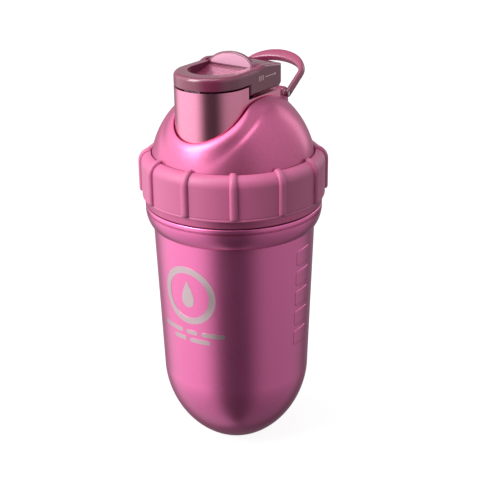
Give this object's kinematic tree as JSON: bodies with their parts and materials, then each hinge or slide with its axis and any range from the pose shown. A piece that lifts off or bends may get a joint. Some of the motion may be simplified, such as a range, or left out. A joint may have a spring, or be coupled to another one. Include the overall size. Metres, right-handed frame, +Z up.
{
  "type": "protein shaker bottle",
  "caption": "Capsule-shaped shaker cup in a tapered shell with a screw-on domed lid, ribbed grip ring, spout under a flip cap with a thumb slide, and a swinging carry loop.",
  "frame": {"origin": "centre of the base, on the surface the bottle stands on", "axes": "+Z up the bottle's axis, -Y to the front, where the drinking spout is, +X to the right seen from behind the bottle's front"},
  "size_m": [0.0982, 0.0982, 0.2131],
  "materials": {
    "shell_pearl": "pearl rose, glossy",
    "cup_white": "milky, satin",
    "neck_seal": "matt silicone",
    "pad_rubber": "matt, dark plum",
    "gasket_silicone": "translucent white silicone",
    "dome_pearl": "pearl rose, glossy",
    "grip_soft": "soft-touch pink",
    "spout_pearl": "pale rose, glossy",
    "seal_silicone": "silicone",
    "screw_steel": "bright steel",
    "cap_maroon": "maroon, glossy",
    "plate_maroon": "maroon, satin",
    "plug_silicone": "silicone",
    "pin_steel": "ground steel",
    "slide_pink": "light pink, satin",
    "hook_steel": "spring steel strip",
    "loop_maroon": "magenta maroon, glossy",
    "washer_nylon": "nylon"
  },
  "bodies": {
    "cup": {"outer_shell": "shell_pearl", "inner_cup": "cup_white", "neck_ring": "neck_seal", "base_pad": "pad_rubber"},
    "seal": {"lid_gasket": "gasket_silicone"},
    "lid": {"lid_dome": "dome_pearl", "grip_ring": "grip_soft", "spout_column": "spout_pearl", "spout_seal": "seal_silicone", "spout_screws": "screw_steel", "loop_pin": "pin_steel", "loop_washers": "washer_nylon"},
    "cap": {"flip_cap": "cap_maroon", "cap_base": "plate_maroon", "cap_screws": "screw_steel", "cap_plug": "plug_silicone", "cap_hinge_pin": "pin_steel", "latch_spring": "hook_steel"},
    "slide": {"thumb_slide": "slide_pink", "latch_hook": "hook_steel"},
    "loop": {"carry_loop": "loop_maroon"}
  },
  "joints": [
    {"name": "lid_lift", "type": "slide", "parent": "cup", "child": "seal", "axis": [0, 0, 1], "range_m": [0, 0.008]},
    {"name": "lid_turn", "type": "hinge", "parent": "seal", "child": "lid", "pos_m": [0, 0, 0], "axis": [0, 0, 1], "range_deg": [0, 360]},
    {"name": "cap_flip", "type": "hinge", "parent": "lid", "child": "cap", "pos_m": [0, 0.0124, 0.1996], "axis": [-1, 0, 0], "range_deg": [0, 96]},
    {"name": "latch_slide", "type": "slide", "parent": "cap", "child": "slide", "axis": [0, 1, 0], "range_m": [0, 0.003], "stiffness_N_per_m": 300, "deforming": ["latch_spring"]},
    {"name": "loop_swing", "type": "hinge", "parent": "lid", "child": "loop", "pos_m": [0, 0.0244, 0.1887], "axis": [-1, 0, 0], "range_deg": [-5, 62]}
  ],
  "couplings": [
    {"joint": "lid_lift", "follows": "lid_turn", "m_per_rad": 0.0012732}
  ]
}
